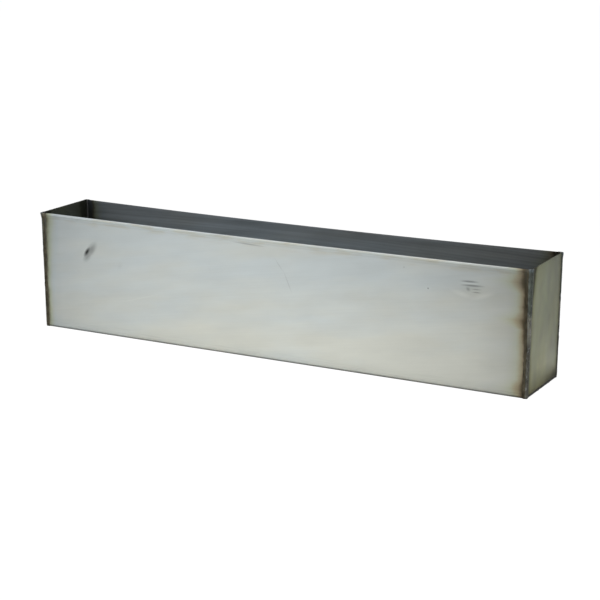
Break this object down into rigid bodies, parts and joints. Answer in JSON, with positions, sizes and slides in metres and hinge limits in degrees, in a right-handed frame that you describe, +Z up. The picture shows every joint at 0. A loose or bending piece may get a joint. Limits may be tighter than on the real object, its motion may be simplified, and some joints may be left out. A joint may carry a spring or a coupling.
{
  "type": "trough feeder",
  "caption": "Long open-topped rectangular feed trough of raw sheet steel: a folded channel closed by end plates, seam-welded along its outside corners, standing flat on its base.",
  "frame": {"origin": "middle of the underside, on the surface the trough stands on", "axes": "+X along the trough towards its right end, +Y from the front wall towards the back wall, +Z up"},
  "size_m": [0.69, 0.1058, 0.1557],
  "materials": {
    "wall_steel": "raw cold-rolled sheet, faint lengthwise streaks, straw and brown heat tint beside the seams",
    "end_steel": "raw cold-rolled sheet with an olive oil film, darker towards the seams",
    "weld_metal": "rippled weld bead, as welded, dark and lightly oxidised"
  },
  "bodies": {
    "root": {"trough_channel": "wall_steel", "left_end_plate": "end_steel", "right_end_plate": "end_steel", "front_left_weld": "weld_metal", "front_right_weld": "weld_metal", "back_left_weld": "weld_metal", "back_right_weld": "weld_metal", "left_bottom_weld": "weld_metal", "right_bottom_weld": "weld_metal"}
  },
  "joints": []
}
